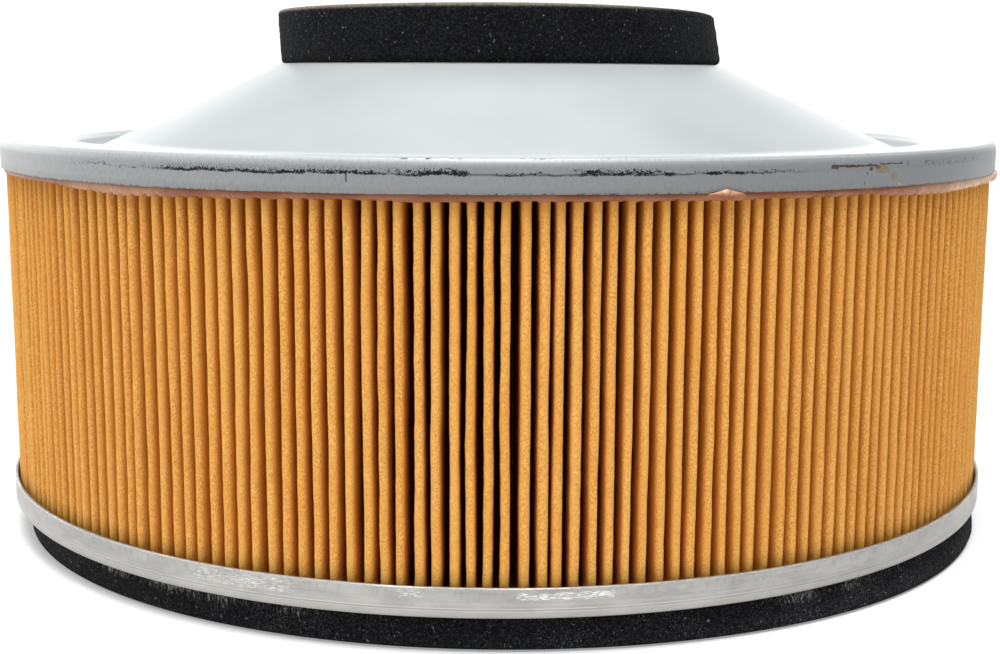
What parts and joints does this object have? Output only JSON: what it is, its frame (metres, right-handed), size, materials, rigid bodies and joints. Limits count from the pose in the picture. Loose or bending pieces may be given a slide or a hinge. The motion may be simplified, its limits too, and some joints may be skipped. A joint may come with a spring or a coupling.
{
  "type": "air filter",
  "caption": "Round pleated-paper air filter between two pressed steel end caps, with a conical top to the outlet and foam sealing rings above and below.",
  "frame": {"origin": "on the filter's axis, on the underside of the bottom foam ring, where the filter rests", "axes": "+Z along the filter's axis, from the bottom foam ring to the outlet; the paper strip's seam is on the +Y side"},
  "size_m": [0.18, 0.18, 0.091],
  "materials": {
    "top_cap_steel": "smooth blue-grey coated steel, satin",
    "bottom_cap_steel": "galvanised sheet, dull, lightly scratched",
    "filter_paper": "resin-soaked cellulose paper, matt and fibrous",
    "plain_steel": "plain zinc-coated sheet",
    "potting_adhesive": "cured pink-tan adhesive, slightly glossy",
    "black_foam": "black open-cell foam, matt",
    "contact_glue": "dried contact adhesive, translucent"
  },
  "bodies": {
    "root": {"top_end_cap": "top_cap_steel", "bottom_end_cap": "bottom_cap_steel", "pleated_paper": "filter_paper", "seam_clip": "plain_steel", "inner_liner": "plain_steel", "top_adhesive": "potting_adhesive", "bottom_adhesive": "potting_adhesive", "neck_foam_seal": "black_foam", "neck_foam_glue": "contact_glue", "bottom_foam_seal": "black_foam", "bottom_foam_glue": "contact_glue"}
  },
  "joints": []
}
